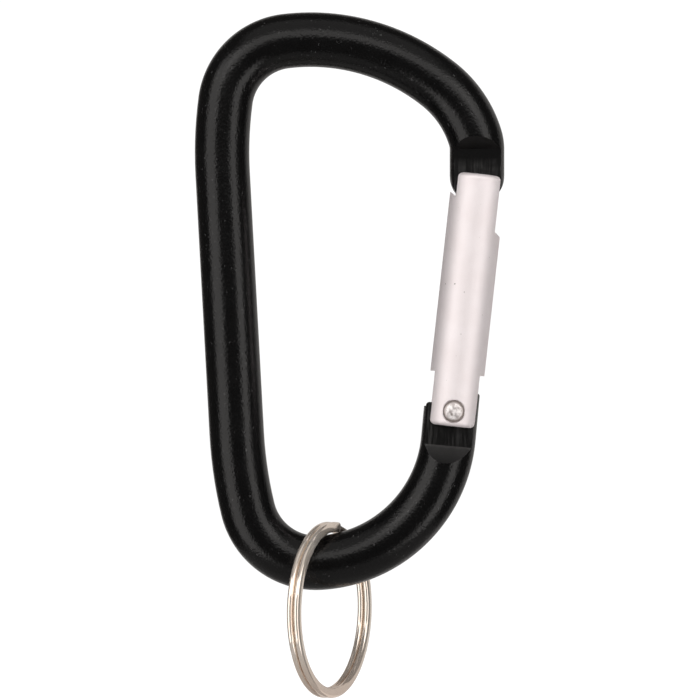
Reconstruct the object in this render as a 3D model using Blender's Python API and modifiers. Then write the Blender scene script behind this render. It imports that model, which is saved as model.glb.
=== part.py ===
"""Carabiner keyring: a D-shaped aluminium snap hook with a sprung gate and a split ring.

Metres, +Z up.  The D lies in the XZ plane, its gate on the +X side, and its front faces -Y.
The origin is the highest point of the D's inner edge, where a belt loop or hook holds it up.
Sizes below are in millimetres and degrees; MM turns them into metres.
"""
from math import cos, pi, radians, sin, tan

import bmesh
import bpy
from mathutils import Matrix, Vector

MM = 0.001

# Bent rod
ROD_RADIUS = 3.8
ROD_SIDES = 24
OUTLINE = (                      # centreline from the nose's tip, up and round to the hinge
    ("line", 3.7),
    ("arc", 5.6, 17.0),
    ("arc", 15.1, 34.5),
    ("arc", 28.7, 45.5),         # the top, whose highest point sets the origin
    ("arc", 9.6, 75.5),
    ("arc", 55.0, 10.6),
    ("line", 36.2),
    ("arc", 58.0, 10.5),
    ("arc", 9.8, 79.8),
    ("arc", 19.0, 81.3),
    ("line", 7.6),
)
TOP_ARC = 2                      # which arc is the top
ARC_STEP = 6.5                   # largest turn between two centreline points
HINGE_LEAN = 5.3                 # lean of the rod's hinge end, from the arcs above

# Milled ends of the rod
TONGUE_THICKNESS = 3.9
NOSE_FLAT_TOP = -11.49           # height where the nose's flats start to run out
NOSE_RAMP = 1.75                 # length of the slope from the flat up to the rod's round
HINGE_FLAT_BOTTOM = -52.70       # height where the hinge's flats start to run out
HINGE_RAMP = 2.42

# Hinge
RIVET = (19.84, -47.87)          # X and Z of the hinge axis
SHANK_RADIUS = 0.9
EAR_HOLE_RADIUS = 0.96
TONGUE_HOLE_RADIUS = 0.98
HEAD_RADIUS = 1.5
RECESS_RADIUS = 1.62
HEAD_SEAT = 3.44                 # distance of each head's seat from the middle plane
DOME_HEIGHT = 0.72
SHOULDER_HEIGHT = 0.9            # inner shoulder that the plunger's foot presses on
HORN_HEIGHT = 2.84               # outer part of the tongue's end
HORN_FLANK = (-1.0, -0.65)

# Gate
GATE_LEAN = 6.33
GATE_RADIUS = 3.78
GATE_TOP = 33.1                  # along the gate, from the rivet
GATE_BOTTOM = -2.1
GATE_RIM = 0.65
NOSE_SLOT = 4.7
NOSE_FLOOR = 27.5                # height of the slanted floor on the gate's axis
NOSE_FLOOR_SLOPE = 0.737
HINGE_SLOT = 4.3
HINGE_SLOT_TOP = 5.25
BORE_RADIUS = 2.6
BORE_END = 18.0
HOLE_TURN = 4.0                  # keeps the facets of the holes off the corners of the blank

# Plunger and spring, along the gate from the rivet
FOOT_RADIUS = 0.65
FOOT_OFFSET = -1.9
FOOT_GAP = 0.06
PISTON_RADIUS = 2.5
PISTON_BOTTOM = 3.15
PISTON_TOP = 6.6
SPIGOT_RADIUS = 1.3
SPIGOT_TOP = 8.0
SPRING_RADIUS = 2.1              # to the middle of the wire
SPRING_WIRE = 0.25
SPRING_TURNS = 9
SPRING_GAP = 0.06
SEAT_GAP = 0.14                  # under the lowest coil, which tips a little when squashed

# Split ring
RING_RADIUS = 11.53              # to the middle of the wire
RING_WIRE = 0.72                 # half of the wire's depth, measured towards the centre
RING_STRAND = 0.46               # half of the wire's width, along the ring's axis
RING_PITCH = 0.99
RING_YAW = 25.0
RING_RISE = 7.4                  # slope of the rod where the ring hangs
RING_GAP = 0.32
RING_STEP = 7.5
RING_LAST_END = 98.0             # where the near coil ends, measured up from the front
RING_JOG = 30.0                  # turn in which the wire crosses over
RING_END_GAP = 4.0

HALF_PI = pi / 2


def clear_scene():
    for obj in list(bpy.data.objects):
        bpy.data.objects.remove(obj, do_unlink=True)


def collection(name):
    new = bpy.data.collections.new(name)
    bpy.context.scene.collection.children.link(new)
    return new


def material(name, colour, roughness, metallic=1.0):
    mat = bpy.data.materials.new(name)
    mat.use_nodes = True
    shader = mat.node_tree.nodes["Principled BSDF"]
    shader.inputs["Base Color"].default_value = (*colour, 1.0)
    shader.inputs["Roughness"].default_value = roughness
    shader.inputs["Metallic"].default_value = metallic
    return mat


def add_object(name, data, where, parent=None, location=(0, 0, 0), rotation=(0, 0, 0)):
    """An object placed in millimetres and radians, relative to its parent."""
    obj = bpy.data.objects.new(name, data)
    where.objects.link(obj)
    obj.parent = parent
    obj.location = Vector(location) * MM
    obj.rotation_euler = rotation
    return obj


def finish_part(obj, mat):
    """Smooth round faces, with crisp machined edges."""
    obj.data.shade_smooth()
    obj.data.set_sharp_from_angle(angle=radians(35))
    obj.data.materials.clear()
    obj.data.materials.append(mat)


def curve_data(name, points, closed, dimensions):
    curve = bpy.data.curves.new(name, "CURVE")
    curve.dimensions = dimensions
    spline = curve.splines.new("POLY")
    spline.points.add(len(points) - 1)
    for spot, point in zip(spline.points, points):
        spot.co = (*(Vector(point).to_3d() * MM), 1.0)
    spline.use_cyclic_u = closed
    curve.render_resolution_u = 0
    return curve


def tube_curve(name, points, radius, resolution):
    curve = curve_data(name, points, False, "3D")
    curve.bevel_depth = radius * MM
    curve.bevel_resolution = resolution
    curve.use_fill_caps = True
    return curve


def plate_curve(name, outline, thickness):
    """A flat outline in X and Y, given a thickness along Z."""
    curve = curve_data(name, outline, True, "2D")
    curve.fill_mode = "BOTH"
    curve.extrude = thickness / 2 * MM
    return curve


def mesh_from_curve(curve_object):
    """Turn a curve object into a mesh object with welded caps, in the same place."""
    bpy.context.view_layer.update()
    graph = bpy.context.evaluated_depsgraph_get()
    mesh = bpy.data.meshes.new_from_object(curve_object.evaluated_get(graph))
    shape = bmesh.new()
    shape.from_mesh(mesh)
    bmesh.ops.remove_doubles(shape, verts=shape.verts, dist=1e-7)
    bmesh.ops.recalc_face_normals(shape, faces=shape.faces)
    shape.to_mesh(mesh)
    shape.free()
    name = curve_object.name
    solid = bpy.data.objects.new(name + "_mesh", mesh)
    curve_object.users_collection[0].objects.link(solid)
    solid.parent = curve_object.parent
    solid.matrix_world = curve_object.matrix_world
    bpy.data.objects.remove(curve_object, do_unlink=True)
    solid.name = name
    return solid


def turned_mesh(name, profile, steps):
    """A solid turned about Z from (radius, height) points, listed top to bottom."""
    mesh = bpy.data.meshes.new(name)
    points = [(r * MM, 0, z * MM) for r, z in profile]
    mesh.from_pydata(points, [(i, i + 1) for i in range(len(points) - 1)], [])
    holder = bpy.data.objects.new(name + "_profile", mesh)
    bpy.context.scene.collection.objects.link(holder)
    screw = holder.modifiers.new("turn", "SCREW")
    screw.steps = steps
    screw.render_steps = steps
    screw.use_merge_vertices = True
    screw.merge_threshold = 1e-6
    bpy.context.view_layer.update()
    graph = bpy.context.evaluated_depsgraph_get()
    result = bpy.data.meshes.new_from_object(holder.evaluated_get(graph))
    bpy.data.objects.remove(holder, do_unlink=True)
    result.name = name
    return result


def cylinder_mesh(name, radius, low, high, sides):
    mesh = bpy.data.meshes.new(name)
    shape = bmesh.new()
    bmesh.ops.create_cone(shape, cap_ends=True, segments=sides, radius1=radius * MM,
                          radius2=radius * MM, depth=(high - low) * MM)
    bmesh.ops.translate(shape, verts=shape.verts, vec=(0, 0, (low + high) / 2 * MM))
    shape.to_mesh(mesh)
    shape.free()
    return mesh


def boolean(target, tool, operation="DIFFERENCE"):
    change = target.modifiers.new(tool.name, "BOOLEAN")
    change.operation = operation
    change.object = tool


def hide_cutter(obj):
    obj.hide_render = True
    obj.display_type = "WIRE"


def arc_points(centre, radius, start, end, count):
    """Points on an arc, both ends included; angles in degrees."""
    angles = [radians(start + (end - start) * i / count) for i in range(count + 1)]
    return [(centre[0] + radius * cos(a), centre[1] + radius * sin(a)) for a in angles]


def centreline():
    """Points (x, z) of the rod's middle, and each arc's centre and radius.

    The route starts at (0, 0), straight up, and is then moved so that the highest point of
    the D's inner edge is the origin.
    """
    x, z, heading = 0.0, 0.0, 90.0
    points = [(x, z)]
    arcs = []
    for kind, *size in OUTLINE:
        if kind == "line":
            x += size[0] * cos(radians(heading))
            z += size[0] * sin(radians(heading))
            points.append((x, z))
            continue
        radius, turn = size
        centre = (x - radius * sin(radians(heading)), z + radius * cos(radians(heading)))
        arcs.append((centre, radius))
        count = max(2, round(turn / ARC_STEP))
        points += arc_points(centre, radius, heading - 90, heading - 90 + turn, count)[1:]
        x, z = points[-1]
        heading += turn
    (top_x, top_z), top_radius = arcs[TOP_ARC]
    shift_z = top_z + top_radius - ROD_RADIUS
    points = [(x - top_x, z - shift_z) for x, z in points]
    arcs = [((x - top_x, z - shift_z), radius) for (x, z), radius in arcs]
    return points, arcs


def mill_outline(ramp):
    """Side view of the cutter that leaves a tongue's flat and the slope at its end."""
    inner = TONGUE_THICKNESS / 2
    outer = ROD_RADIUS + 2
    rise = ramp / (ROD_RADIUS - inner)
    return [(outer, -14), (inner, -14), (inner, 0), (outer, rise * (outer - inner))]


def nose_tip_outline():
    """The space round the nose's round tip."""
    tip = arc_points((0, 0), ROD_RADIUS - 0.02, 180, 360, 14)
    return [(-6, 0.01), *tip, (6, 0.01), (6, -9), (-6, -9)]


def hinge_end_outline():
    """The space past the hinge tongue's end: inner shoulder, flank and outer horn."""
    shoulder = arc_points((-3.35, SHOULDER_HEIGHT - 0.5), 0.5, 190, 90, 4)
    horn = arc_points((2.9, HORN_HEIGHT - 0.6), 0.6, 90, -10, 4)
    flank = [(HORN_FLANK[0], SHOULDER_HEIGHT), (HORN_FLANK[1], HORN_HEIGHT)]
    return [(-6, 0), *shoulder, *flank, *horn, (6, 2), (6, 12), (-6, 12)]


def cut_along_y(name, outline, thickness, cutters, location, turn=0.0):
    """A cutter with its outline seen from the front; turn leans it to the right."""
    curve = plate_curve(name, outline, thickness)
    obj = add_object(name, curve, cutters, None, location, (HALF_PI, radians(turn), 0))
    solid = mesh_from_curve(obj)
    hide_cutter(solid)
    return solid


def make_mill(name, cutters, x, z, lean, side, upwards, ramp):
    """One of the four milling cuts: side is the face it takes, upwards its slope's way."""
    curve = plate_curve(name, mill_outline(ramp), 2 * ROD_RADIUS + 8)
    obj = add_object(name, curve, cutters)
    frame = Matrix(((0, 0, 1), (side, 0, 0), (0, upwards, 0))).to_4x4()
    place = Matrix.Translation(Vector((x, 0, z)) * MM)
    obj.matrix_world = place @ Matrix.Rotation(radians(lean), 4, "Y") @ frame
    solid = mesh_from_curve(obj)
    hide_cutter(solid)
    return solid


def make_body(parts, cutters, mat):
    points, _ = centreline()
    nose_x, nose_z = points[0]
    route = [(x, 0, z) for x, z in [(nose_x, nose_z - 5), *points]]
    curve = tube_curve("body", route, ROD_RADIUS, (ROD_SIDES - 4) // 2)
    body = mesh_from_curve(add_object("body", curve, parts))

    flat_x = RIVET[0] + (HINGE_FLAT_BOTTOM - RIVET[1]) * tan(radians(HINGE_LEAN))
    for side, face in ((-1, "front"), (1, "back")):
        boolean(body, make_mill(f"nose_mill_{face}", cutters, nose_x, NOSE_FLAT_TOP,
                                0, side, 1, NOSE_RAMP))
        boolean(body, make_mill(f"hinge_mill_{face}", cutters, flat_x, HINGE_FLAT_BOTTOM,
                                HINGE_LEAN, side, -1, HINGE_RAMP))
    tip_place = (nose_x, 0, nose_z)
    boolean(body, cut_along_y("nose_tip_cut", nose_tip_outline(), 12, cutters, tip_place))
    rivet_place = (RIVET[0], 0, RIVET[1])
    boolean(body, cut_along_y("hinge_end_cut", hinge_end_outline(), 12, cutters,
                              rivet_place, GATE_LEAN))
    hole = cylinder_mesh("tongue_hole", TONGUE_HOLE_RADIUS, -5, 5, 24)
    hole_cutter = add_object("tongue_hole", hole, cutters, None, rivet_place, (HALF_PI, 0, 0))
    hide_cutter(hole_cutter)
    boolean(body, hole_cutter)
    finish_part(body, mat)
    return body


def gate_profile():
    """Half of the gate's turned blank, with rounded rims."""
    edge = GATE_RADIUS - GATE_RIM
    top = arc_points((edge, GATE_TOP - GATE_RIM), GATE_RIM, 90, 0, 3)
    bottom = arc_points((edge, GATE_BOTTOM + GATE_RIM), GATE_RIM, 0, -90, 3)
    return [(0, GATE_TOP), *top, *bottom, (0, GATE_BOTTOM)]


def make_gate(pivot, parts, cutters, mat):
    gate = add_object("gate", turned_mesh("gate", gate_profile(), 32), parts, pivot)

    def slot(name, outline, width):
        curve = plate_curve(name, outline, width)
        cutter = mesh_from_curve(add_object(name, curve, cutters, pivot, (0, 0, 0),
                                            (HALF_PI, 0, 0)))
        hide_cutter(cutter)
        boolean(gate, cutter)

    reach = 6
    drop = NOSE_FLOOR_SLOPE * reach
    slot("nose_slot", [(-reach, NOSE_FLOOR + drop), (reach, NOSE_FLOOR - drop),
                       (reach, GATE_TOP + 5), (-reach, GATE_TOP + 5)], NOSE_SLOT)
    slot("hinge_slot", [(-reach, GATE_BOTTOM - 5), (reach, GATE_BOTTOM - 5),
                        (reach, HINGE_SLOT_TOP), (-reach, HINGE_SLOT_TOP)], HINGE_SLOT)

    def drill(name, radius, low, high, sides, rotation):
        mesh = cylinder_mesh(name, radius, low, high, sides)
        cutter = add_object(name, mesh, cutters, pivot, (0, 0, 0), rotation)
        hide_cutter(cutter)
        boolean(gate, cutter)

    across = (HALF_PI, radians(HOLE_TURN), 0)
    drill("spring_bore", BORE_RADIUS, GATE_BOTTOM - 3, BORE_END, 32, (0, 0, 0))
    drill("ear_hole", EAR_HOLE_RADIUS, -6, 6, 24, across)
    drill("head_recess_front", RECESS_RADIUS, HEAD_SEAT, 6, 28, across)
    drill("head_recess_back", RECESS_RADIUS, -6, -HEAD_SEAT, 28, across)
    finish_part(gate, mat)
    return gate


def rivet_profile():
    """Domed head at the top, shank, and a formed head a little flatter at the bottom."""
    seat = HEAD_SEAT + 0.04
    rim = 0.22
    height = DOME_HEIGHT - rim
    dome = [(HEAD_RADIUS * sin(a), seat + rim + height * cos(a))
            for a in (radians(15 * i) for i in range(7))]
    formed = 0.8
    back = [(HEAD_RADIUS * cos(a), -seat - rim - height * formed * sin(a))
            for a in (radians(15 * i) for i in range(7))]
    shank = [(HEAD_RADIUS, seat), (SHANK_RADIUS, seat), (SHANK_RADIUS, -seat),
             (HEAD_RADIUS, -seat)]
    return [*dome, *shank, *back]


def make_rivet(pivot, parts, mat):
    mesh = turned_mesh("hinge_rivet", rivet_profile(), 24)
    rivet = add_object("hinge_rivet", mesh, parts, pivot, (0, 0, 0), (HALF_PI, 0, 0))
    finish_part(rivet, mat)
    return rivet


def plunger_profile():
    edge = 0.3
    return [(0, SPIGOT_TOP), (SPIGOT_RADIUS - edge, SPIGOT_TOP),
            (SPIGOT_RADIUS, SPIGOT_TOP - edge), (SPIGOT_RADIUS, PISTON_TOP),
            (PISTON_RADIUS, PISTON_TOP), (PISTON_RADIUS, PISTON_BOTTOM + edge),
            (PISTON_RADIUS - edge, PISTON_BOTTOM), (0, PISTON_BOTTOM)]


def make_plunger(pivot, parts, cutters, mat):
    plunger = add_object("spring_plunger", turned_mesh("spring_plunger", plunger_profile(), 28),
                         parts, pivot)
    tip = SHOULDER_HEIGHT + FOOT_GAP
    top = PISTON_BOTTOM + 1
    quarter = [(FOOT_RADIUS * cos(a), tip + FOOT_RADIUS - FOOT_RADIUS * sin(a))
               for a in (radians(22.5 * i) for i in range(5))]
    foot = add_object("plunger_foot", turned_mesh("plunger_foot", [(0, top),
                      (FOOT_RADIUS, top), *quarter], 16), cutters, pivot,
                      (FOOT_OFFSET, 0, 0))
    hide_cutter(foot)
    boolean(plunger, foot, "UNION")
    finish_part(plunger, mat)
    return plunger


def make_spring(pivot, parts, mat):
    low = PISTON_TOP + SEAT_GAP + SPRING_WIRE
    high = BORE_END - SPRING_GAP - SPRING_WIRE
    seat_turns = 1.0
    steps = 14
    closed_pitch = 2 * SPRING_WIRE + 0.04
    free = (high - low - 2 * seat_turns * closed_pitch) / (SPRING_TURNS - 2 * seat_turns)
    points = []
    height = low
    for i in range(SPRING_TURNS * steps + 1):
        turn = i / steps
        angle = 2 * pi * turn
        points.append((SPRING_RADIUS * cos(angle), SPRING_RADIUS * sin(angle), height))
        seated = turn < seat_turns or turn >= SPRING_TURNS - seat_turns
        height += (closed_pitch if seated else free) / steps
    curve = tube_curve("gate_spring", points, SPRING_WIRE, 2)
    spring = mesh_from_curve(add_object("gate_spring", curve, parts, pivot))
    finish_part(spring, mat)
    return spring


def ring_wire():
    """The middle of the split ring's wire, in a frame with X to the ring's front and Y up.

    Two coils lie side by side along Z, and the wire crosses from one to the other.
    """
    whole = 720 - RING_JOG - 2 * RING_END_GAP
    cross_start = 360 - RING_JOG - RING_END_GAP
    count = round(whole / RING_STEP)
    points = []
    for i in range(count + 1):
        turn = whole * i / count
        cross = min(1.0, max(0.0, (turn - cross_start) / RING_JOG))
        ease = cross * cross * (3 - 2 * cross)
        angle = radians(RING_LAST_END - whole + turn)
        points.append((RING_RADIUS * cos(angle), RING_RADIUS * sin(angle),
                       RING_PITCH * (0.5 - ease)))
    return points


def make_ring(ring_pivot, drop, parts, mat):
    """The round wire is coiled, then pressed flatter along the ring's axis."""
    press = RING_STRAND / RING_WIRE
    points = [(x, y, z / press) for x, y, z in ring_wire()]
    curve = tube_curve("split_ring", points, RING_WIRE, 3)
    ring = mesh_from_curve(add_object("split_ring", curve, parts))
    ring.data.transform(Matrix.Diagonal((1, 1, press, 1)))
    front = Vector((-sin(radians(RING_YAW)), -cos(radians(RING_YAW)), 0))
    up = Vector((0, 0, 1))
    ring.data.transform(Matrix((front, up, front.cross(up))).transposed().to_4x4())
    ring.parent = ring_pivot
    ring.location = (0, 0, -drop * MM)
    finish_part(ring, mat)
    return ring


def ring_hang_point(arcs):
    """The rod's middle where the ring hangs, a little past the lowest point of the last arc."""
    middle, radius = arcs[-1]
    angle = radians(-90 + RING_RISE)
    return middle[0] + radius * cos(angle), middle[1] + radius * sin(angle)


def build():
    clear_scene()
    parts = collection("carabiner_keyring")
    cutters = collection("cutters")
    black = material("black_anodised", (0.012, 0.012, 0.014), 0.32)
    satin = material("blasted_aluminium", (0.80, 0.79, 0.78), 0.42)
    steel = material("polished_steel", (0.78, 0.77, 0.75), 0.16)
    nickel = material("nickel_plate", (0.80, 0.73, 0.66), 0.14)

    make_body(parts, cutters, black)

    pivot = add_object("gate_pivot", None, parts, None, (RIVET[0], 0, RIVET[1]),
                       (0, radians(GATE_LEAN), 0))
    make_gate(pivot, parts, cutters, satin)
    make_rivet(pivot, parts, steel)
    make_plunger(pivot, parts, cutters, steel)
    make_spring(pivot, parts, steel)

    _, arcs = centreline()
    x, z = ring_hang_point(arcs)
    ring_pivot = add_object("ring_pivot", None, parts, None, (x, 0, z))
    drop = RING_RADIUS - RING_WIRE - ROD_RADIUS - RING_GAP
    make_ring(ring_pivot, drop, parts, nickel)


build()
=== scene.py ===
"""Looks of the carabiner keyring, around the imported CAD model.

Sizes are in millimetres and degrees; MM turns them into metres.  Everything is in the CAD's
frame: +Z up, the D in the XZ plane, its front facing -Y.
"""
from math import cos, pi, radians, sin, tan

import bmesh
import bpy
from mathutils import Matrix, Vector


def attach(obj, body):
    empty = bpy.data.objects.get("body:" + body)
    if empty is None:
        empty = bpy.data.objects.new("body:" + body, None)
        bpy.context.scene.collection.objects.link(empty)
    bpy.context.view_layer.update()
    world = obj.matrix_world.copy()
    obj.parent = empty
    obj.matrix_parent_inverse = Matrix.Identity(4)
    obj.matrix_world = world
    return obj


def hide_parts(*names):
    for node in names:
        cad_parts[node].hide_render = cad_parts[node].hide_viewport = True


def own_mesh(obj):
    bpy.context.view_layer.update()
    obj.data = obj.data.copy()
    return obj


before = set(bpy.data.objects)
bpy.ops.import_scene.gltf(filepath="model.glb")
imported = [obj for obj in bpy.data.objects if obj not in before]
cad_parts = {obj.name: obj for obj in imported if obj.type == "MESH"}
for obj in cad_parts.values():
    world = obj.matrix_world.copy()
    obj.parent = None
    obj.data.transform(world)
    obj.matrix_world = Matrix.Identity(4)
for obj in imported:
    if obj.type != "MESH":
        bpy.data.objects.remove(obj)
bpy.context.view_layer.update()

MM = 0.001
HALF_PI = pi / 2

# Bent rod, as in the CAD
ROD_RADIUS = 3.8
ROD_SIDES = 96
OUTLINE = (
    ("line", 3.7),
    ("arc", 5.6, 17.0),
    ("arc", 15.1, 34.5),
    ("arc", 28.7, 45.5),
    ("arc", 9.6, 75.5),
    ("arc", 55.0, 10.6),
    ("line", 36.2),
    ("arc", 58.0, 10.5),
    ("arc", 9.8, 79.8),
    ("arc", 19.0, 81.3),
    ("line", 7.6),
)
TOP_ARC = 2
ARC_STEP = 1.6
HINGE_LEAN = 5.3
TONGUE_THICKNESS = 3.9
NOSE_FLAT_TOP = -11.49
NOSE_RAMP = 1.75
HINGE_FLAT_BOTTOM = -52.70
HINGE_RAMP = 2.42

# Hinge, as in the CAD
RIVET = (19.84, -47.87)
SHANK_RADIUS = 0.9
EAR_HOLE_RADIUS = 0.96
TONGUE_HOLE_RADIUS = 0.98
HEAD_RADIUS = 1.5
RECESS_RADIUS = 1.62
HEAD_SEAT = 3.44
DOME_HEIGHT = 0.72
SHOULDER_HEIGHT = 0.9
HORN_HEIGHT = 2.84
HORN_FLANK = (-1.0, -0.65)

# Gate, as in the CAD
GATE_LEAN = 6.33
GATE_RADIUS = 3.78
GATE_TOP = 33.1
GATE_BOTTOM = -2.1
GATE_RIM = 0.65
NOSE_SLOT = 4.7
NOSE_FLOOR = 27.5
NOSE_FLOOR_SLOPE = 0.737
HINGE_SLOT = 4.3
HINGE_SLOT_TOP = 5.25
BORE_RADIUS = 2.6
BORE_END = 18.0
HOLE_TURN = 3.1                  # keeps the facets of the holes off the corners of the blank

# Spring, as in the CAD
PISTON_TOP = 6.6
SPRING_RADIUS = 2.1
SPRING_WIRE = 0.25
SPRING_TURNS = 9
SPRING_GAP = 0.06
SEAT_GAP = 0.14

# Split ring, as in the CAD
RING_RADIUS = 11.53
RING_WIRE = 0.72
RING_STRAND = 0.46
RING_PITCH = 0.99
RING_YAW = 25.0
RING_RISE = 7.4
RING_GAP = 0.32
RING_LAST_END = 98.0
RING_JOG = 30.0
RING_END_GAP = 4.0

# Cutters reach this far past what they cut
ROD_EXTRA = 5
MILL_REACH = 14
CUT_HALF = 6
SLOT_EXTRA = 5
RECESS_END = 7

# Small roundings
CORNER_STEPS = 8
SHOULDER_ROUND = 0.5
HORN_ROUND = 0.6
TIP_RECESS = 0.02                # keeps the tip's cut off the rod's own facets
ROD_EDGE = 0.12
GATE_EDGE = 0.14
RING_EDGE = 0.08
HEAD_RIM = 0.22
HEAD_LIFT = 0.04                 # the heads stand this far off their seats
FORMED_HEAD = 0.8                # the back head's dome against the front one's
WIRE_POWER = 2.4                 # squareness of the ring's section: 2 is an ellipse

# Camera and light
VIEW_CENTRE = (5.48, -39.38)
VIEW_WIDTH = 97.39
CAMERA_DISTANCE = 700.0
FLOOR_Z = -125.0
FLOOR_HALF = 6.0                 # metres
TENT_RADIUS = 5.0                # metres
TENT_GLOW = 0.06
WORLD_STRENGTH = 1.06
WARM = (1.0, 0.97, 0.95)
LIGHTS = (
    # name, azimuth, elevation, distance, width and height in metres, radiance
    ("softbox_left", -50.5, 0, 0.7, 0.55, 1.1, 1.3),
    ("softbox_right", 47, 0, 0.7, 0.36, 1.1, 1.4),
    ("softbox_top", 0, 29, 0.7, 0.9, 0.32, 1.15),
    ("softbox_ceiling", 0, 67, 0.7, 0.9, 0.62, 0.32),
    ("bounce_below", 0, -90, 0.08, 0.16, 0.16, 0.2),
    ("backdrop_glow", 165, 0, 0.7, 1.5, 1.2, 0.4),
    ("front_fill", 0, 10, 0.9, 1.2, 1.2, 1.3),
)
NO_HIGHLIGHT = "front_fill"


# ---------------------------------------------------------------- mesh tools

def add_object(name, data):
    obj = bpy.data.objects.new(name, data)
    bpy.context.scene.collection.objects.link(obj)
    return obj


def object_from(name, shape):
    mesh = bpy.data.meshes.new(name)
    bmesh.ops.recalc_face_normals(shape, faces=shape.faces)
    shape.to_mesh(mesh)
    shape.free()
    return add_object(name, mesh)


def sweep(name, stations, profile):
    """A closed tube: profile points (u, v) set at each station (place, u axis, v axis)."""
    shape = bmesh.new()
    rings = []
    for place, u_axis, v_axis in stations:
        rings.append([shape.verts.new((place + u_axis * u + v_axis * v) * MM)
                      for u, v in profile])
    count = len(profile)
    for near, far in zip(rings, rings[1:]):
        for i in range(count):
            j = (i + 1) % count
            shape.faces.new((near[i], near[j], far[j], far[i]))
    shape.faces.new(reversed(rings[0]))
    shape.faces.new(rings[-1])
    return object_from(name, shape)


def turned(name, profile, steps, place=Matrix.Identity(4)):
    """A solid turned about Z from (radius, height) points, then placed."""
    shape = bmesh.new()
    rings = []
    for radius, height in profile:
        if radius < 1e-6:
            rings.append([shape.verts.new((0, 0, height * MM))])
            continue
        rings.append([shape.verts.new((radius * cos(2 * pi * i / steps) * MM,
                                       radius * sin(2 * pi * i / steps) * MM, height * MM))
                      for i in range(steps)])
    for near, far in zip(rings, rings[1:]):
        for i in range(steps):
            j = (i + 1) % steps
            corners = [near[i % len(near)], near[j % len(near)],
                       far[j % len(far)], far[i % len(far)]]
            shape.faces.new(list(dict.fromkeys(corners)))
    for ring, is_first in ((rings[0], True), (rings[-1], False)):
        if len(ring) > 1:
            shape.faces.new(ring[::-1] if is_first else ring)
    bmesh.ops.transform(shape, matrix=place, verts=shape.verts)
    return object_from(name, shape)


def prism(name, outline, half, place):
    """A flat outline in X and Y made half thick both ways along Z, then placed."""
    shape = bmesh.new()
    low = [shape.verts.new((x * MM, y * MM, -half * MM)) for x, y in outline]
    high = [shape.verts.new((x * MM, y * MM, half * MM)) for x, y in outline]
    count = len(outline)
    for i in range(count):
        j = (i + 1) % count
        shape.faces.new((low[i], low[j], high[j], high[i]))
    shape.faces.new(low[::-1])
    shape.faces.new(high)
    bmesh.ops.transform(shape, matrix=place, verts=shape.verts)
    return object_from(name, shape)


def carve(obj, cutters):
    """Take the cutters away from obj and apply the result."""
    for cutter in cutters:
        change = obj.modifiers.new(cutter.name, "BOOLEAN")
        change.operation = "DIFFERENCE"
        change.object = cutter
        cutter.hide_render = True
    apply_modifiers(obj)
    for cutter in cutters:
        bpy.data.objects.remove(cutter, do_unlink=True)


def apply_modifiers(obj):
    bpy.context.view_layer.update()
    graph = bpy.context.evaluated_depsgraph_get()
    mesh = bpy.data.meshes.new_from_object(obj.evaluated_get(graph))
    obj.modifiers.clear()
    old = obj.data
    obj.data = mesh
    bpy.data.meshes.remove(old)
    mesh.name = obj.name


def soften(obj, width, weld=0.02, limit=32, segments=2):
    """Round the hard edges a little, as tumbling and plating do."""
    shape = bmesh.new()
    shape.from_mesh(obj.data)
    bmesh.ops.remove_doubles(shape, verts=shape.verts, dist=weld * MM)
    bmesh.ops.dissolve_degenerate(shape, edges=shape.edges, dist=weld / 2 * MM)
    hard = [e for e in shape.edges
            if e.is_manifold and e.calc_face_angle(0) > radians(limit)]
    bmesh.ops.bevel(shape, geom=hard, offset=width * MM, offset_type="OFFSET",
                    segments=segments, profile=0.5, affect="EDGES", clamp_overlap=True)
    shape.to_mesh(obj.data)
    shape.free()


def smooth(obj, limit=40):
    obj.data.shade_smooth()
    obj.data.set_sharp_from_angle(angle=radians(limit))
    even = obj.modifiers.new("even_normals", "WEIGHTED_NORMAL")
    even.keep_sharp = True
    even.weight = 90


def arc_points(centre, radius, start, end, count):
    angles = [radians(start + (end - start) * i / count) for i in range(count + 1)]
    return [(centre[0] + radius * cos(a), centre[1] + radius * sin(a)) for a in angles]


# ---------------------------------------------------------------- materials

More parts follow.
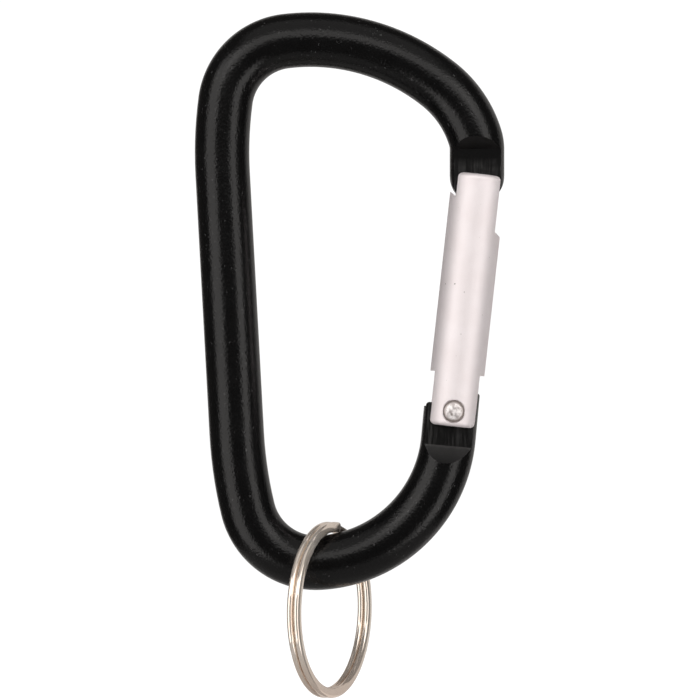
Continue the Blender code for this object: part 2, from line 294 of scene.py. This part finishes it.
class Nodes:
    """Short calls for building one material."""

    def __init__(self, name, metallic):
        self.material = bpy.data.materials.new(name)
        self.material.use_nodes = True
        self.tree = self.material.node_tree
        self.shader = self.tree.nodes["Principled BSDF"]
        self.shader.inputs["Metallic"].default_value = metallic
        place = self.tree.nodes.new("ShaderNodeTexCoord")
        self.place = place.outputs["Object"]

    def link(self, source, target):
        self.tree.links.new(source, target)

    def noise(self, scale, detail=2.0, stretch=(1, 1, 1), rough=0.5):
        """Noise with features about 1/scale metres across; stretch shrinks an axis's rate."""
        mapping = self.tree.nodes.new("ShaderNodeMapping")
        mapping.inputs["Scale"].default_value = stretch
        self.link(self.place, mapping.inputs["Vector"])
        node = self.tree.nodes.new("ShaderNodeTexNoise")
        node.inputs["Scale"].default_value = scale
        node.inputs["Detail"].default_value = detail
        node.inputs["Roughness"].default_value = rough
        self.link(mapping.outputs["Vector"], node.inputs["Vector"])
        return node.outputs["Fac"]

    def levels(self, value, low, high, to_low=0.0, to_high=1.0):
        node = self.tree.nodes.new("ShaderNodeMapRange")
        node.inputs["From Min"].default_value = low
        node.inputs["From Max"].default_value = high
        node.inputs["To Min"].default_value = to_low
        node.inputs["To Max"].default_value = to_high
        self.link(value, node.inputs["Value"])
        return node.outputs["Result"]

    def along(self, direction):
        """How far a point of the object lies along a direction, in metres."""
        node = self.tree.nodes.new("ShaderNodeVectorMath")
        node.operation = "DOT_PRODUCT"
        node.inputs[1].default_value = direction
        self.link(self.place, node.inputs[0])
        return node.outputs["Value"]

    def reach(self, x, z):
        """How far a point of the object lies from a line along Y, in metres."""
        flat = self.tree.nodes.new("ShaderNodeMapping")
        flat.inputs["Scale"].default_value = (1, 0, 1)
        self.link(self.place, flat.inputs["Vector"])
        node = self.tree.nodes.new("ShaderNodeVectorMath")
        node.operation = "DISTANCE"
        node.inputs[1].default_value = (x * MM, 0, z * MM)
        self.link(flat.outputs["Vector"], node.inputs[0])
        return node.outputs["Value"]

    def maths(self, operation, first, second):
        node = self.tree.nodes.new("ShaderNodeMath")
        node.operation = operation
        for socket, value in zip(node.inputs, (first, second)):
            if isinstance(value, (int, float)):
                socket.default_value = value
            else:
                self.link(value, socket)
        return node.outputs["Value"]

    def mix(self, factor, first, second):
        node = self.tree.nodes.new("ShaderNodeMix")
        node.data_type = "RGBA"
        self.link(factor, node.inputs["Factor"])
        for socket, value in ((node.inputs["A"], first), (node.inputs["B"], second)):
            if isinstance(value, tuple):
                socket.default_value = (*value, 1.0)
            else:
                self.link(value, socket)
        return node.outputs["Result"]

    def colour(self, value):
        self.link(value, self.shader.inputs["Base Color"])

    def roughness(self, value, low, high):
        """Roughness from low to high with a noise, whose values keep mostly to 0.3 to 0.7."""
        self.link(self.levels(value, 0.3, 0.7, low, high), self.shader.inputs["Roughness"])

    def bump(self, height, strength, depth):
        node = self.tree.nodes.new("ShaderNodeBump")
        node.inputs["Strength"].default_value = strength
        node.inputs["Distance"].default_value = depth
        self.link(height, node.inputs["Height"])
        self.link(node.outputs["Normal"], self.shader.inputs["Normal"])


def black_anodised():
    """Satin black with a fine orange peel and a few pale specks."""
    m = Nodes("black_anodised", 0.0)
    fine = m.noise(5200, 3.0)
    cloud = m.noise(330, 2.0)
    specks = m.levels(m.noise(2900, 1.0, (1, 1, 0.6)), 0.70, 0.79)
    base = m.mix(cloud, (0.0007, 0.0007, 0.0008), (0.0019, 0.0019, 0.0020))
    m.colour(m.mix(specks, base, (0.028, 0.028, 0.028)))
    rough = m.levels(fine, 0.3, 0.7, 0.14, 0.22)
    m.link(m.maths("ADD", rough, m.levels(cloud, 0.3, 0.7, 0, 0.04)),
           m.shader.inputs["Roughness"])
    m.shader.inputs["Specular IOR Level"].default_value = 0.42
    m.bump(m.maths("ADD", m.noise(2700, 2.0), m.maths("MULTIPLY", fine, 0.3)), 1.0, 0.00004)
    return m.material


def black_milled():
    """Cutter lines along the tongue, fading out on the nose's upper part."""
    m = Nodes("black_milled", 0.0)
    lines = m.noise(4300, 2.0, (1, 1, 0.07))
    patch = m.noise(520, 3.0, (1, 1, 1.6))
    fine = m.noise(5200, 3.0)
    z = m.along((0, 0, 1))
    bare = m.levels(z, (NOSE_FLAT_TOP - 2.6) * MM, (NOSE_FLAT_TOP - 1.2) * MM, 1.0, 0.0)
    low = m.levels(z, (NOSE_FLAT_TOP - 20) * MM, (NOSE_FLAT_TOP - 10) * MM, 0.62, 1.0)
    cut = m.maths("MULTIPLY", m.levels(lines, 0.42, 0.66), m.levels(patch, 0.36, 0.60, 0.25, 1.0))
    amount = m.maths("MULTIPLY", m.maths("MULTIPLY", cut, bare), low)
    base = m.mix(amount, (0.0010, 0.0010, 0.0011), (0.0200, 0.0196, 0.0192))
    m.colour(base)
    m.roughness(fine, 0.28, 0.40)
    m.link(m.levels(bare, 0.0, 1.0, 0.24, 0.40), m.shader.inputs["Specular IOR Level"])
    m.bump(m.maths("ADD", lines, m.maths("MULTIPLY", fine, 0.4)), 0.35, 0.00003)
    return m.material


def black_ramp():
    """The smoother run-outs: nearly black at the nose, paler along the hinge one's upper edge."""
    m = Nodes("black_ramp", 0.0)
    fine = m.noise(5200, 2.0)
    lean = radians(HINGE_LEAN)
    flat_x = RIVET[0] + (HINGE_FLAT_BOTTOM - RIVET[1]) * tan(lean)
    edge = flat_x * sin(lean) + HINGE_FLAT_BOTTOM * cos(lean)
    along = m.along((sin(lean), 0, cos(lean)))
    wander = m.maths("ADD", along, m.levels(m.noise(700, 3.0), 0.3, 0.7, -0.00012, 0.00012))
    fade = m.levels(along, (edge - HINGE_RAMP) * MM, edge * MM, 0.0, 0.62)
    # a paler band just inside the hinge flat's edge
    pale_edge_band = m.levels(wander, (edge - 0.34) * MM, (edge - 0.16) * MM, 0.0, 0.55)
    at_hinge = m.levels(along, (edge + 5) * MM, (edge + 15) * MM, 1.0, 0.0)
    amount = m.maths("MULTIPLY", m.maths("ADD", fade, pale_edge_band), at_hinge)
    m.colour(m.mix(amount, (0.0006, 0.0006, 0.0006), (0.0190, 0.0188, 0.0186)))
    m.roughness(fine, 0.30, 0.36)
    m.link(m.levels(at_hinge, 0.0, 1.0, 0.27, 0.40), m.shader.inputs["Specular IOR Level"])
    m.bump(fine, 0.15, 0.00002)
    return m.material


def blasted_aluminium():
    """Even, fine-grained matte metal with a few dark pits."""
    m = Nodes("blasted_aluminium", 0.8)
    fine = m.noise(7000, 3.0, rough=0.6)
    cloud = m.noise(260, 2.0)
    specks = m.levels(m.noise(1900, 1.0), 0.775, 0.82)
    grain = m.maths("ADD", m.levels(cloud, 0.3, 0.7, 0.0, 0.6),
                    m.levels(fine, 0.35, 0.65, 0.0, 0.4))
    base = m.mix(grain, (0.93, 0.862, 0.866), (1.0, 0.945, 0.955))
    m.colour(m.mix(specks, base, (0.42, 0.37, 0.35)))
    m.roughness(fine, 0.52, 0.64)
    m.shader.inputs["Specular Tint"].default_value = (0.35, 0.30, 0.29, 1.0)
    m.bump(fine, 0.22, 0.00003)
    return m.material


def polished_steel():
    m = Nodes("polished_steel", 0.85)
    fine = m.noise(2600, 4.0)
    wear = m.noise(1500, 3.0)
    m.colour(m.mix(m.levels(wear, 0.35, 0.65), (0.62, 0.59, 0.58), (0.95, 0.92, 0.91)))
    m.roughness(wear, 0.30, 0.46)
    m.bump(fine, 0.5, 0.00008)
    return m.material


def rivet_head():
    """Polished steel, scuffed, with painted shade around the rim where its recess shades it, and a
    painted dark reflection spot a little below the centre.
    """
    m = Nodes("rivet_head", 0.65)
    fine = m.noise(2600, 4.0)
    wear = m.noise(1700, 3.0)
    shine = m.mix(m.levels(wear, 0.38, 0.62), (0.44, 0.40, 0.39), (0.90, 0.86, 0.85))
    rough_edge = m.levels(wear, 0.3, 0.7, -0.00012, 0.00012)
    from_pin = m.maths("ADD", m.reach(RIVET[0], RIVET[1]), rough_edge)
    from_reflection_spot = m.maths("ADD", m.reach(RIVET[0] - 0.30, RIVET[1] - 0.46), rough_edge)
    # painted shade: the head's rim is darkened where the recess shades it
    painted_rim_shade = m.levels(from_pin, 0.00106, 0.00130)
    # painted reflection: a dark spot left of and below the dome's centre, where the dome reflects
    # the dark camera side
    painted_reflection_spot = m.levels(from_reflection_spot, 0.00008, 0.00034, 0.85, 0.0)
    m.colour(m.mix(m.maths("MAXIMUM", painted_rim_shade, painted_reflection_spot), shine, (0.24, 0.205, 0.19)))
    m.roughness(wear, 0.28, 0.44)
    m.bump(fine, 0.6, 0.00009)
    return m.material


def nickel_plate():
    """Bright plate, darker and duller low down, with painted shade behind the cut end of the wire,
    where the far strand lies unlit.
    """
    m = Nodes("nickel_plate", 0.87)
    fine = m.noise(3000, 3.0)
    wave = m.noise(160, 2.0)
    plate = m.mix(m.levels(wave, 0.3, 0.7), (0.98, 0.85, 0.74), (1.0, 0.92, 0.83))
    # darker and browner towards the bottom of the ring
    low_down = m.levels(m.along((0, 0, 1)), -0.0875, -0.0800, 1.0, 0.0)
    plate_darker_low = m.mix(low_down, plate, (0.80, 0.66, 0.56))
    # painted shade: a dark patch on the far strand behind the wire's cut end, standing in for its
    # unlit face
    painted_shade_patch = m.levels(m.reach(4.3, -64.25), 0.00055, 0.0009, 0.92, 0.0)
    m.colour(m.mix(painted_shade_patch, plate_darker_low, (0.045, 0.032, 0.024)))
    m.roughness(fine, 0.07, 0.13)
    m.bump(wave, 0.15, 0.0002)
    return m.material


def spring_wire():
    m = Nodes("spring_wire", 1.0)
    drawn = m.noise(3000, 2.0)
    m.colour(m.mix(drawn, (0.45, 0.45, 0.46), (0.66, 0.66, 0.66)))
    m.roughness(drawn, 0.18, 0.32)
    return m.material


# ---------------------------------------------------------------- bent rod

def centreline():
    """Points (x, z), headings, and each arc's centre and radius, with the CAD's origin."""
    x, z, heading = 0.0, 0.0, 90.0
    points = [(x, z, heading)]
    arcs = []
    for kind, *size in OUTLINE:
        if kind == "line":
            x += size[0] * cos(radians(heading))
            z += size[0] * sin(radians(heading))
            points.append((x, z, heading))
            continue
        radius, turn = size
        centre = (x - radius * sin(radians(heading)), z + radius * cos(radians(heading)))
        arcs.append((centre, radius))
        count = max(2, round(turn / ARC_STEP))
        for i in range(1, count + 1):
            now = heading + turn * i / count
            x = centre[0] + radius * cos(radians(now - 90))
            z = centre[1] + radius * sin(radians(now - 90))
            points.append((x, z, now))
        heading += turn
    (top_x, top_z), top_radius = arcs[TOP_ARC]
    shift_z = top_z + top_radius - ROD_RADIUS
    points = [(px - top_x, pz - shift_z, h) for px, pz, h in points]
    arcs = [((ax - top_x, az - shift_z), r) for (ax, az), r in arcs]
    return points, arcs


ROUTE, ARCS = centreline()


def mill(name, x, z, lean, side, upwards, ramp):
    """Cutter for one flat of a tongue, with the slope where it runs out into the round."""
    inner = TONGUE_THICKNESS / 2
    outer = ROD_RADIUS + 2
    rise = ramp / (ROD_RADIUS - inner)
    outline = [(outer, -MILL_REACH), (inner, -MILL_REACH), (inner, 0),
               (outer, rise * (outer - inner))]
    axes = Matrix(((0, 0, 1), (side, 0, 0), (0, upwards, 0))).to_4x4()
    place = (Matrix.Translation(Vector((x, 0, z)) * MM)
             @ Matrix.Rotation(radians(lean), 4, "Y") @ axes)
    return prism(name, outline, ROD_RADIUS + 4, place)


def front_cutter(name, outline, x, z, lean=0.0):
    place = (Matrix.Translation(Vector((x, 0, z)) * MM)
             @ Matrix.Rotation(radians(lean), 4, "Y") @ Matrix.Rotation(HALF_PI, 4, "X"))
    return prism(name, outline, CUT_HALF, place)


def cross_hole(name, radius, low, high, x, z, steps=64):
    place = (Matrix.Translation(Vector((x, 0, z)) * MM) @ Matrix.Rotation(HALF_PI, 4, "X")
             @ Matrix.Rotation(radians(HOLE_TURN), 4, "Z"))
    return turned(name, [(radius, high), (radius, low)], steps, place)


def make_rod():
    nose_x, nose_z, _ = ROUTE[0]
    stations = []
    for x, z, heading in [(nose_x, nose_z - ROD_EXTRA, 90.0), *ROUTE]:
        across = Vector((sin(radians(heading)), 0, -cos(radians(heading))))
        stations.append((Vector((x, 0, z)), across, Vector((0, 1, 0))))
    circle = arc_points((0, 0), ROD_RADIUS, 0, 360, ROD_SIDES)[:-1]
    rod = sweep("bent_rod", stations, circle)
    flat_x = RIVET[0] + (HINGE_FLAT_BOTTOM - RIVET[1]) * tan(radians(HINGE_LEAN))
    cutters = []
    for side in (-1, 1):
        cutters.append(mill("nose_mill", nose_x, NOSE_FLAT_TOP, 0, side, 1, NOSE_RAMP))
        cutters.append(mill("hinge_mill", flat_x, HINGE_FLAT_BOTTOM, HINGE_LEAN, side, -1,
                            HINGE_RAMP))
    tip = arc_points((0, 0), ROD_RADIUS - TIP_RECESS, 180, 360, 48)
    cutters.append(front_cutter("tip_cut", [(-6, 0.01), *tip, (6, 0.01), (6, -9), (-6, -9)],
                                nose_x, nose_z))
    shoulder = arc_points((-3.35, SHOULDER_HEIGHT - SHOULDER_ROUND), SHOULDER_ROUND, 190, 90, 10)
    horn = arc_points((2.9, HORN_HEIGHT - HORN_ROUND), HORN_ROUND, 90, -10, 10)
    flank = [(HORN_FLANK[0], SHOULDER_HEIGHT), (HORN_FLANK[1], HORN_HEIGHT)]
    cutters.append(front_cutter("end_cut", [(-6, 0), *shoulder, *flank, *horn, (6, 2), (6, 12),
                                            (-6, 12)], *RIVET, GATE_LEAN))
    cutters.append(cross_hole("pin_hole", TONGUE_HOLE_RADIUS, -ROD_EXTRA, ROD_EXTRA, *RIVET))
    carve(rod, cutters)
    soften(rod, ROD_EDGE)
    smooth(rod)
    rod.data.materials.clear()
    rod.data.materials.append(black_anodised())
    rod.data.materials.append(black_milled())
    rod.data.materials.append(black_ramp())
    highest = NOSE_FLAT_TOP + NOSE_RAMP + 0.3
    lowest = HINGE_FLAT_BOTTOM - HINGE_RAMP - 0.3
    for face in rod.data.polygons:
        x, y, z = face.center / MM
        facing = face.normal.y ** 2
        if x > 12 and lowest < z < highest and facing >= 0.2 and abs(y) <= 3.6 and cut_face(face):
            face.material_index = 1 if facing > 0.96 else 2
    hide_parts("body")
    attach(rod, "body")


def cut_face(face):
    """True on the milled flats and run-outs: there the surface isn't the rod's own round."""
    x, y, z = face.center / MM
    near = min(ROUTE, key=lambda p: (p[0] - x) ** 2 + (p[1] - z) ** 2)
    if near in (ROUTE[0], ROUTE[1], ROUTE[-1], ROUTE[-2]):
        heading = radians(near[2])
        off = (x - near[0]) * sin(heading) - (z - near[1]) * cos(heading)
    else:
        off = ((x - near[0]) ** 2 + (z - near[1]) ** 2) ** 0.5
    return (off ** 2 + y ** 2) ** 0.5 < ROD_RADIUS - 0.05


# ---------------------------------------------------------------- gate and rivet

def gate_place():
    return (Matrix.Translation(Vector((RIVET[0], 0, RIVET[1])) * MM)
            @ Matrix.Rotation(radians(GATE_LEAN), 4, "Y"))


def make_gate():
    edge = GATE_RADIUS - GATE_RIM
    top = arc_points((edge, GATE_TOP - GATE_RIM), GATE_RIM, 90, 0, CORNER_STEPS)
    bottom = arc_points((edge, GATE_BOTTOM + GATE_RIM), GATE_RIM, 0, -90, CORNER_STEPS)
    place = gate_place()
    gate = turned("gate_rod", [(0, GATE_TOP), *top, *bottom, (0, GATE_BOTTOM)], 128, place)
    upright = place @ Matrix.Rotation(HALF_PI, 4, "X")
    reach = CUT_HALF
    drop = NOSE_FLOOR_SLOPE * reach
    cutters = [
        prism("nose_slot", [(-reach, NOSE_FLOOR + drop), (reach, NOSE_FLOOR - drop),
                            (reach, GATE_TOP + SLOT_EXTRA), (-reach, GATE_TOP + SLOT_EXTRA)],
              NOSE_SLOT / 2, upright),
        prism("hinge_slot", [(-reach, GATE_BOTTOM - SLOT_EXTRA), (reach, GATE_BOTTOM - SLOT_EXTRA),
                             (reach, HINGE_SLOT_TOP), (-reach, HINGE_SLOT_TOP)],
              HINGE_SLOT / 2, upright),
        turned("bore", [(BORE_RADIUS, BORE_END), (BORE_RADIUS, GATE_BOTTOM - 3)], 96, place),
        cross_hole("ear_hole", EAR_HOLE_RADIUS, -CUT_HALF, CUT_HALF, *RIVET),
        cross_hole("recess_front", RECESS_RADIUS, HEAD_SEAT, RECESS_END, *RIVET),
        cross_hole("recess_back", RECESS_RADIUS, -RECESS_END, -HEAD_SEAT, *RIVET),
    ]
    carve(gate, cutters)
    soften(gate, GATE_EDGE, limit=30)
    smooth(gate)
    gate.data.materials.clear()
    gate.data.materials.append(blasted_aluminium())
    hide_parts("gate")
    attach(gate, "gate")


def make_rivet():
    seat = HEAD_SEAT + HEAD_LIFT
    edge = seat + HEAD_RIM
    height = DOME_HEIGHT - HEAD_RIM
    steps = [radians(5 * i) for i in range(19)]
    dome = [(HEAD_RADIUS * sin(a), edge + height * cos(a)) for a in steps]
    back = [(HEAD_RADIUS * cos(a), -edge - height * FORMED_HEAD * sin(a)) for a in steps]
    shank = [(HEAD_RADIUS, seat), (SHANK_RADIUS, seat), (SHANK_RADIUS, -seat),
             (HEAD_RADIUS, -seat)]
    rivet = turned("rivet_pin", [*dome, *shank, *back], 96,
                   gate_place() @ Matrix.Rotation(HALF_PI, 4, "X"))
    smooth(rivet)
    rivet.data.materials.append(rivet_head())
    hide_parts("hinge_rivet")
    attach(rivet, "gate")


def make_spring():
    """The coil, closed at both ends."""
    place = gate_place()
    foot = PISTON_TOP + SEAT_GAP
    head = BORE_END - SPRING_GAP
    closed = 2 * SPRING_WIRE + 0.04
    free = (head - foot - 2 * SPRING_WIRE - 2 * closed) / (SPRING_TURNS - 2)
    steps = 36
    height = foot + SPRING_WIRE
    stations = []
    for i in range(SPRING_TURNS * steps + 1):
        turn = i / steps
        angle = 2 * pi * turn
        outward = Vector((cos(angle), sin(angle), 0))
        centre = place.to_translation() / MM
        at = centre + place.to_3x3() @ (outward * SPRING_RADIUS + Vector((0, 0, height)))
        stations.append((at, place.to_3x3() @ outward, place.to_3x3() @ Vector((0, 0, 1))))
        seated = turn < 1 or turn >= SPRING_TURNS - 1
        height += (closed if seated else free) / steps
    circle = arc_points((0, 0), SPRING_WIRE, 0, 360, 12)[:-1]
    spring = sweep("coil_wire", stations, circle)
    smooth(spring, 50)
    spring.data.materials.append(spring_wire())
    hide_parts("gate_spring")
    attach(spring, "gate")
    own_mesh(spring)


# ---------------------------------------------------------------- split ring

def superellipse(a, b, power, count):
    points = []
    for i in range(count):
        angle = 2 * pi * i / count
        c, s = cos(angle), sin(angle)
        points.append((a * abs(c) ** (2 / power) * (1 if c >= 0 else -1),
                       b * abs(s) ** (2 / power) * (1 if s >= 0 else -1)))
    return points


def make_ring():
    middle, radius = ARCS[-1]
    angle = radians(-90 + RING_RISE)
    x = middle[0] + radius * cos(angle)
    z = middle[1] + radius * sin(angle)
    drop = RING_RADIUS - RING_WIRE - ROD_RADIUS - RING_GAP
    centre = Vector((x, 0, z - drop))
    front = Vector((-sin(radians(RING_YAW)), -cos(radians(RING_YAW)), 0))
    up = Vector((0, 0, 1))
    side = front.cross(up)
    whole = 720 - RING_JOG - 2 * RING_END_GAP
    cross_start = 360 - RING_JOG - RING_END_GAP
    count = 460
    stations = []
    for i in range(count + 1):
        turn = whole * i / count
        cross = min(1.0, max(0.0, (turn - cross_start) / RING_JOG))
        ease = cross * cross * (3 - 2 * cross)
        at = radians(RING_LAST_END - whole + turn)
        outward = front * cos(at) + up * sin(at)
        stations.append((centre + outward * RING_RADIUS + side * (RING_PITCH * (0.5 - ease)),
                         outward, side))
    ring = sweep("ring_wire", stations, superellipse(RING_WIRE, RING_STRAND, WIRE_POWER, 40))
    soften(ring, RING_EDGE, weld=0.001, limit=50)
    smooth(ring, 50)
    ring.data.materials.append(nickel_plate())
    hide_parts("split_ring")
    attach(ring, "ring")


# ---------------------------------------------------------------- stage

def area_light(name, azimuth, elevation, distance, width, height, radiance):
    """A soft box that faces the object; azimuth 0 is in front of it, positive to its right."""
    data = bpy.data.lights.new(name, "AREA")
    data.shape = "RECTANGLE"
    data.size = width
    data.size_y = height
    data.energy = radiance * pi * width * height
    data.color = WARM
    lamp = add_object(name, data)
    a, e = radians(azimuth), radians(elevation)
    away = Vector((sin(a) * cos(e), -cos(a) * cos(e), sin(e)))
    centre = Vector((VIEW_CENTRE[0], 0, VIEW_CENTRE[1])) * MM
    lamp.location = centre + away * distance
    lamp.rotation_mode = "QUATERNION"
    lamp.rotation_quaternion = away.to_track_quat("Z", "Y")
    lamp.visible_camera = False
    return lamp


def make_stage():
    world = bpy.data.worlds.new("studio")
    bpy.context.scene.world = world
    world.use_nodes = True
    back = world.node_tree.nodes["Background"]
    back.inputs["Color"].default_value = (1.0, 1.0, 1.0, 1.0)
    back.inputs["Strength"].default_value = WORLD_STRENGTH
    world.cycles_visibility.glossy = False

    shape = bmesh.new()
    bmesh.ops.create_grid(shape, x_segments=1, y_segments=1, size=FLOOR_HALF)
    floor = object_from("floor", shape)
    floor.location = (0, 0, FLOOR_Z * MM)
    paint = Nodes("floor_paint", 0.0)
    tone = paint.noise(4, 2.0)
    paint.colour(paint.mix(tone, (0.96, 0.96, 0.96), (0.97, 0.97, 0.97)))
    paint.shader.inputs["Roughness"].default_value = 0.9
    paint.shader.inputs["Specular IOR Level"].default_value = 0.0
    floor.data.materials.append(paint.material)
    floor.visible_glossy = False

    shape = bmesh.new()
    bmesh.ops.create_icosphere(shape, subdivisions=4, radius=TENT_RADIUS)
    tent = object_from("tent", shape)
    glow = bpy.data.materials.new("tent_glow")
    glow.use_nodes = True
    shader = glow.node_tree.nodes["Principled BSDF"]
    shader.inputs["Base Color"].default_value = (0, 0, 0, 1)
    shader.inputs["Emission Color"].default_value = (1.0, 0.93, 0.87, 1)
    shader.inputs["Emission Strength"].default_value = TENT_GLOW
    tent.data.materials.append(glow)
    tent.visible_camera = False
    tent.visible_diffuse = False
    tent.visible_shadow = False
    tent.visible_transmission = False

    for light in LIGHTS:
        lamp = area_light(*light)
        lamp.visible_glossy = lamp.name != NO_HIGHLIGHT


def make_camera():
    data = bpy.data.cameras.new("camera")
    data.sensor_width = 36.0
    data.lens = data.sensor_width * CAMERA_DISTANCE / VIEW_WIDTH
    data.clip_start = 0.01
    data.clip_end = 50.0
    camera = add_object("camera", data)
    camera.location = Vector((VIEW_CENTRE[0], -CAMERA_DISTANCE, VIEW_CENTRE[1])) * MM
    camera.rotation_euler = (HALF_PI, 0, 0)
    bpy.context.scene.camera = camera


make_camera()
make_rod()
make_gate()
make_rivet()
make_spring()
make_ring()
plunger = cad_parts["spring_plunger"]
plunger.data.materials.clear()
plunger.data.materials.append(polished_steel())
make_stage()
bpy.context.scene.view_settings.view_transform = "Standard"
